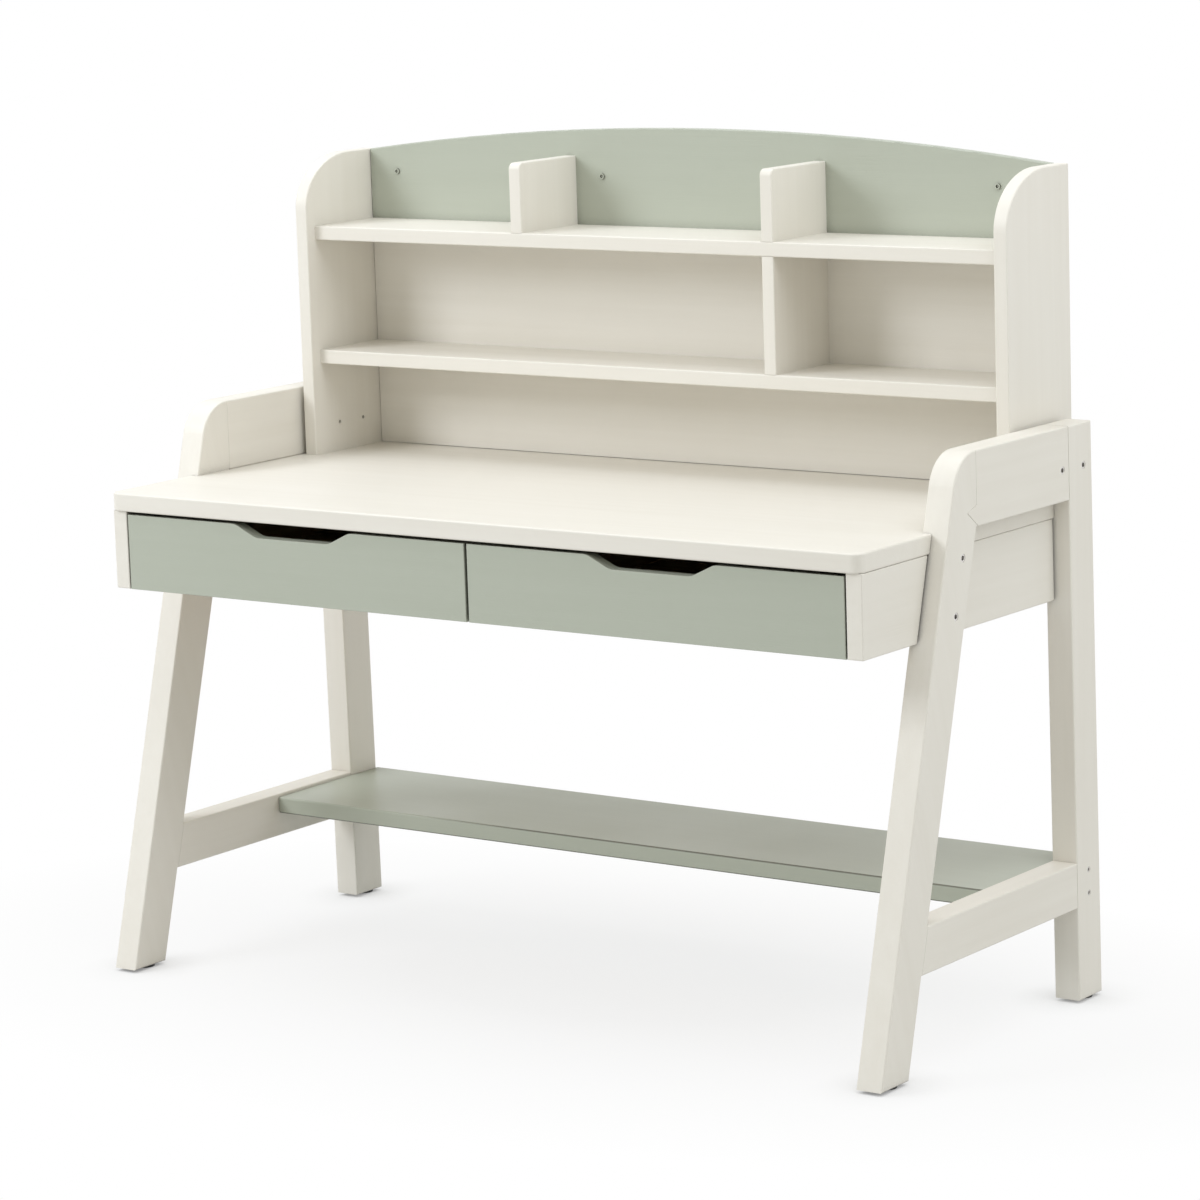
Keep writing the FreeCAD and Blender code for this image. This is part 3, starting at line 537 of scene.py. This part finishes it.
def plated_steel(paint, name, colour):
    """Zinc plated steel: cloudy plating with fine turning marks, and painted shade in the sockets."""
    material = empty_material(name)
    tree = material.node_tree
    place = board_place(tree)
    clouds = noise(tree, place, PLATING_CLOUDS, detail=4.0)
    marks = noise(tree, along_grain(tree, place, ACROSS, TURNING_MARKS), detail=2.0)
    base = mixed(tree, spread(tree, clouds, SOFT_BAND), colour, toned(colour, CLOUD_TONE))
    shader = wire(tree, "ShaderNodeBsdfPrincipled", {
        "Base Color": add_painted_crevice_shade(tree, paint, base, paint.painted_gap_shade),
        "Metallic": 1.0,
        "Roughness": spread(tree, clouds, SOFT_BAND, STEEL_ROUGHNESS),
        "Normal": bumps(tree, marks, TURNING_DEPTH, FITTING_BUMP),
    })
    set_surface(tree, shader)
    return material


def moulded_plastic(name, colour):
    """Black moulded plastic with a fine spark texture and scuffed tone."""
    material = empty_material(name)
    tree = material.node_tree
    place = board_place(tree)
    spark = noise(tree, place, PLASTIC_SPARK, detail=2.0)
    scuffs = noise(tree, place, PLASTIC_SCUFFS, detail=4.0)
    shader = wire(tree, "ShaderNodeBsdfPrincipled", {
        "Base Color": mixed(tree, spread(tree, scuffs, SCUFF_BAND), colour, toned(colour, SCUFF_TONE)),
        "Roughness": spread(tree, scuffs, SOFT_BAND, PLASTIC_ROUGHNESS),
        "Normal": bumps(tree, spark, SPARK_DEPTH, FITTING_BUMP),
    })
    set_surface(tree, shader)
    return material


def cream_paint(paint, name, grain, joint, lean=0.0):
    """Cream paint on boards, with painted shade in their joints that keeps this share of the colour."""
    return painted_wood(
        paint, name, paint.cream, paint.cream_shade, paint.cream_roughness, paint.cream_sheen,
        grain, joint, lean=lean,
    )


def sage_paint(paint, name, grain, with_nose_shade=False, hollow=JOINT):
    """Sage paint on boards with open gaps around them, and painted shade in those gaps."""
    return painted_wood(
        paint, name, paint.sage, paint.sage_shade, paint.sage_roughness, paint.sage_sheen,
        grain, paint.painted_gap_shade, with_nose_shade=with_nose_shade, hollow=hollow,
    )


def dress(names, material):
    """Gives these solids their finish."""
    for name in names:
        for slot in nodes[name].material_slots:
            slot.material = material


class STUDENTDESK_OT_side_frames(bpy.types.Operator):
    """Paints the legs, arm rails and stretchers cream, with the grain along each of them"""

    bl_idname = "student_desk.side_frames"
    bl_label = "Side frames"

    def execute(self, context):
        paint = context.scene.student_desk_paint
        lean = -paint.front_leg_lean
        dress(both("front_leg"), cream_paint(paint, "Cream front legs", UP, paint.painted_gap_shade, lean))
        dress(both("rear_leg"), cream_paint(paint, "Cream rear legs", UP, paint.painted_seam_shade))
        dress(both("arm_rail", "stretcher"), cream_paint(paint, "Cream rails", BACK, paint.painted_seam_shade))
        return {"FINISHED"}


class STUDENTDESK_OT_desktop(bpy.types.Operator):
    """Paints the desktop cream, with the grain from side to side"""

    bl_idname = "student_desk.desktop"
    bl_label = "Desktop"

    def execute(self, context):
        paint = context.scene.student_desk_paint
        dress(["desktop"], cream_paint(paint, "Cream desktop", ACROSS, paint.painted_seam_shade))
        return {"FINISHED"}


class STUDENTDESK_OT_drawer_case(bpy.types.Operator):
    """Paints the sides, partition and apron of the drawer case cream"""

    bl_idname = "student_desk.drawer_case"
    bl_label = "Drawer case"

    def execute(self, context):
        paint = context.scene.student_desk_paint
        uprights = both("case_side") + ["case_partition"]
        dress(uprights, cream_paint(paint, "Cream case sides", BACK, paint.painted_gap_shade))
        dress(["rear_apron"], cream_paint(paint, "Cream apron", ACROSS, paint.painted_seam_shade))
        return {"FINISHED"}


class STUDENTDESK_OT_hutch(bpy.types.Operator):
    """Paints the hutch sides, shelves, dividers, lower back and batten cream"""

    bl_idname = "student_desk.hutch"
    bl_label = "Hutch"

    def execute(self, context):
        paint = context.scene.student_desk_paint
        uprights = both("hutch_side", "upper_divider") + ["lower_divider"]
        dress(uprights, cream_paint(paint, "Cream uprights", UP, paint.painted_seam_shade))
        boards = ["upper_shelf", "middle_shelf", "lower_back", "rear_batten"]
        dress(boards, cream_paint(paint, "Cream shelves", ACROSS, paint.painted_seam_shade))
        return {"FINISHED"}


class STUDENTDESK_OT_sage_boards(bpy.types.Operator):
    """Paints the drawer fronts, the arched back with its screws and the foot shelf sage"""

    bl_idname = "student_desk.sage_boards"
    bl_label = "Sage boards"

    def execute(self, context):
        paint = context.scene.student_desk_paint
        boards = both("drawer_front") + ["arched_back"]
        dress(boards, sage_paint(paint, "Sage boards", ACROSS))
        # The screws' sockets get a deeper painted shade
        dress(["arch_screws"], sage_paint(paint, "Sage screws", ACROSS, hollow=SOCKET))
        # The foot shelf's rounded front edges get painted shade and a painted dark reflection
        dress(["foot_shelf"], sage_paint(paint, "Sage foot shelf", ACROSS, with_nose_shade=True))
        return {"FINISHED"}


class STUDENTDESK_OT_drawer_boxes(bpy.types.Operator):
    """Lacquers the drawer boxes, and leaves their runners and stops in bare beech"""

    bl_idname = "student_desk.drawer_boxes"
    bl_label = "Drawer boxes"

    def execute(self, context):
        wood = context.scene.student_desk_fittings
        depth = context.scene.student_desk_paint.grain_depth
        birch = (wood.birch, wood.birch_figure, LACQUER_ROUGHNESS, depth)
        beech = (wood.beech, wood.beech_figure, RUNNER_ROUGHNESS, depth)
        sides = both("drawer_outer_side", "drawer_inner_side")
        dress(sides, bare_wood("Birch sides", *birch, BACK))
        flats = both("drawer_back", "drawer_bottom")
        dress(flats, bare_wood("Birch flats", *birch, ACROSS))
        dress(["drawer_runners", "drawer_stops"], bare_wood("Beech runners", *beech, BACK))
        return {"FINISHED"}


class STUDENTDESK_OT_dowels(bpy.types.Operator):
    """Leaves the dowels in bare beech"""

    bl_idname = "student_desk.dowels"
    bl_label = "Dowels"

    def execute(self, context):
        wood = context.scene.student_desk_fittings
        depth = context.scene.student_desk_paint.grain_depth
        beech = (wood.beech, wood.beech_figure, DOWEL_ROUGHNESS, depth)
        dowels = [name for name in nodes if name.endswith("dowels")]
        dress(dowels, bare_wood("Beech dowels", *beech, BACK))
        return {"FINISHED"}


class STUDENTDESK_OT_fasteners(bpy.types.Operator):
    """Plates the bolts, pins, spacers and the screws that aren't painted"""

    bl_idname = "student_desk.fasteners"
    bl_label = "Fasteners"

    def execute(self, context):
        steel = context.scene.student_desk_fittings.steel
        endings = ("bolts", "screws", "pins", "spacers")
        plated = [name for name in nodes if name.endswith(endings) and name != "arch_screws"]
        dress(plated, plated_steel(context.scene.student_desk_paint, "Plated steel", steel))
        return {"FINISHED"}


class STUDENTDESK_OT_glides(bpy.types.Operator):
    """Moulds the glides under the feet in black plastic"""

    bl_idname = "student_desk.glides"
    bl_label = "Glides"

    def execute(self, context):
        black = context.scene.student_desk_fittings.glide
        dress(["foot_glides"], moulded_plastic("Black plastic", black))
        return {"FINISHED"}


def plain_sight(tree):
    """One where the camera, a reflection or a clear piece looks, zero for light that bounces."""
    path = wire(tree, "ShaderNodeLightPath").outputs
    shiny = larger(tree, path["Is Glossy Ray"], path["Is Transmission Ray"])
    return larger(tree, path["Is Camera Ray"], shiny)


def floor_finish(stage):
    """Matt near the desk, where it keeps the shadow, and plain white further off, with a painted contact
    shadow close under the feet.
    """
    material = empty_material("Studio floor")
    tree = material.node_tree
    place = wire(tree, "ShaderNodeTexCoord").outputs["Object"]
    factors = {0: place, 1: stage.fade_spread}
    oval = wire(tree, "ShaderNodeVectorMath", factors, operation="MULTIPLY").outputs[0]
    reach = wire(tree, "ShaderNodeVectorMath", {0: oval}, operation="LENGTH").outputs["Value"]
    fade = spread(tree, reach, (stage.fade_start, stage.fade_end), (stage.floor_white, 1.0))
    # Painted contact shadow: less plain white close under the feet
    space = open_space(tree, stage.contact_shadow_reach)
    contact = spread(tree, space, (0.0, ON_FACE), (stage.contact_shadow_white, 1.0))
    seen = times(tree, times(tree, fade, contact), plain_sight(tree))
    matt = wire(tree, "ShaderNodeBsdfDiffuse", {"Color": opaque(stage.floor_colour)})
    white = wire(tree, "ShaderNodeEmission", {"Color": opaque(WHITE), "Strength": 1.0})
    set_surface(tree, wire(tree, "ShaderNodeMixShader", {0: seen, 1: matt.outputs[0], 2: white.outputs[0]}))
    return material


def lay_floor(stage):
    """A pale disc under the desk."""
    mesh = bpy.data.meshes.new("studio_floor")
    shape = bmesh.new()
    bmesh.ops.create_circle(shape, cap_ends=True, segments=FLOOR_CORNERS, radius=stage.floor_radius)
    shape.to_mesh(mesh)
    shape.free()
    floor = bpy.data.objects.new("studio_floor", mesh)
    bpy.context.scene.collection.objects.link(floor)
    mesh.materials.append(floor_finish(stage))


def light_sky(stage):
    """Even soft light, and plain white where it is seen."""
    world = bpy.data.worlds.new("studio_sky")
    world.use_nodes = True
    tree = world.node_tree
    tree.nodes.clear()
    soft = wire(tree, "ShaderNodeBackground", {"Color": opaque(stage.sky_colour), "Strength": stage.sky})
    white = wire(tree, "ShaderNodeBackground", {"Color": opaque(WHITE), "Strength": 1.0})
    skies = {0: plain_sight(tree), 1: soft.outputs[0], 2: white.outputs[0]}
    mix = wire(tree, "ShaderNodeMixShader", skies)
    wire(tree, "ShaderNodeOutputWorld", {"Surface": mix.outputs[0]})
    bpy.context.scene.world = world


def hang_lamp(name, colour, place, size, power):
    """A square lamp that faces the middle of the desk."""
    light = bpy.data.lights.new(name, "AREA")
    light.color = colour
    light.size = size
    light.energy = power
    lamp = bpy.data.objects.new(name, light)
    lamp.location = place
    middle = (cad_box[0] + cad_box[1]) / 2
    lamp.rotation_euler = (middle - Vector(place)).to_track_quat("-Z", "Y").to_euler()
    bpy.context.scene.collection.objects.link(lamp)


def set_camera(stage):
    """Puts the camera where the photograph was taken from."""
    turn = stage.camera_azimuth
    tilt = stage.camera_elevation
    ahead = Vector((-math.sin(turn) * math.cos(tilt), math.cos(turn) * math.cos(tilt), -math.sin(tilt)))
    level = Vector((math.cos(turn), math.sin(turn), 0.0))
    down = ahead.cross(level)
    across = level * math.cos(stage.camera_roll) + down * math.sin(stage.camera_roll)
    upright = level * math.sin(stage.camera_roll) - down * math.cos(stage.camera_roll)
    lens = bpy.data.cameras.new("camera")
    lens.sensor_width = PICTURE_WIDTH
    lens.sensor_fit = "HORIZONTAL"
    lens.lens = stage.lens
    lens.clip_end = CAMERA_SIGHT
    camera = bpy.data.objects.new("camera", lens)
    turned = Matrix((across, upright, -ahead)).transposed().to_4x4()
    camera.matrix_world = Matrix.Translation(stage.camera_place) @ turned
    bpy.context.scene.collection.objects.link(camera)
    bpy.context.scene.camera = camera


class STUDENTDESK_OT_stage(bpy.types.Operator):
    """Lays the floor, lights the studio and sets the camera"""

    bl_idname = "student_desk.stage"
    bl_label = "Stage"

    def execute(self, context):
        stage = context.scene.student_desk_stage
        lay_floor(stage)
        light_sky(stage)
        tint = stage.lamp_colour
        hang_lamp("key_lamp", tint, stage.key_place, stage.key_size, stage.key_power)
        hang_lamp("left_lamp", tint, stage.left_place, stage.left_size, stage.left_power)
        hang_lamp("right_lamp", tint, stage.right_place, stage.right_size, stage.right_power)
        hang_lamp("rear_lamp", tint, stage.rear_place, stage.rear_size, stage.rear_power)
        set_camera(stage)
        context.scene.view_settings.view_transform = "Standard"
        return {"FINISHED"}


OPERATORS = (
    STUDENTDESK_OT_side_frames,
    STUDENTDESK_OT_desktop,
    STUDENTDESK_OT_drawer_case,
    STUDENTDESK_OT_hutch,
    STUDENTDESK_OT_sage_boards,
    STUDENTDESK_OT_drawer_boxes,
    STUDENTDESK_OT_dowels,
    STUDENTDESK_OT_fasteners,
    STUDENTDESK_OT_glides,
    STUDENTDESK_OT_stage,
)


class STUDENTDESK_PT_panel(bpy.types.Panel):
    """Lists the pieces of the desk and their settings"""

    bl_idname = "STUDENTDESK_PT_panel"
    bl_label = "Student desk"
    bl_space_type = "VIEW_3D"
    bl_region_type = "UI"
    bl_category = "Student desk"

    def draw(self, context):
        scene = context.scene
        for settings in (scene.student_desk_paint, scene.student_desk_fittings, scene.student_desk_stage):
            column = self.layout.column(align=True)
            for name in settings.__annotations__:
                column.prop(settings, name)
        for operator in OPERATORS:
            self.layout.operator(operator.bl_idname)


CLASSES = (PaintSettings, FittingSettings, StageSettings, *OPERATORS, STUDENTDESK_PT_panel)


def register():
    for kind in CLASSES:
        bpy.utils.register_class(kind)
    bpy.types.Scene.student_desk_paint = PointerProperty(type=PaintSettings)
    bpy.types.Scene.student_desk_fittings = PointerProperty(type=FittingSettings)
    bpy.types.Scene.student_desk_stage = PointerProperty(type=StageSettings)


def unregister():
    del bpy.types.Scene.student_desk_stage
    del bpy.types.Scene.student_desk_fittings
    del bpy.types.Scene.student_desk_paint
    for kind in reversed(CLASSES):
        bpy.utils.unregister_class(kind)


def main():
    register()
    for operator in OPERATORS:
        group, name = operator.bl_idname.split(".")
        getattr(getattr(bpy.ops, group), name)()


if __name__ == "__main__":
    main()
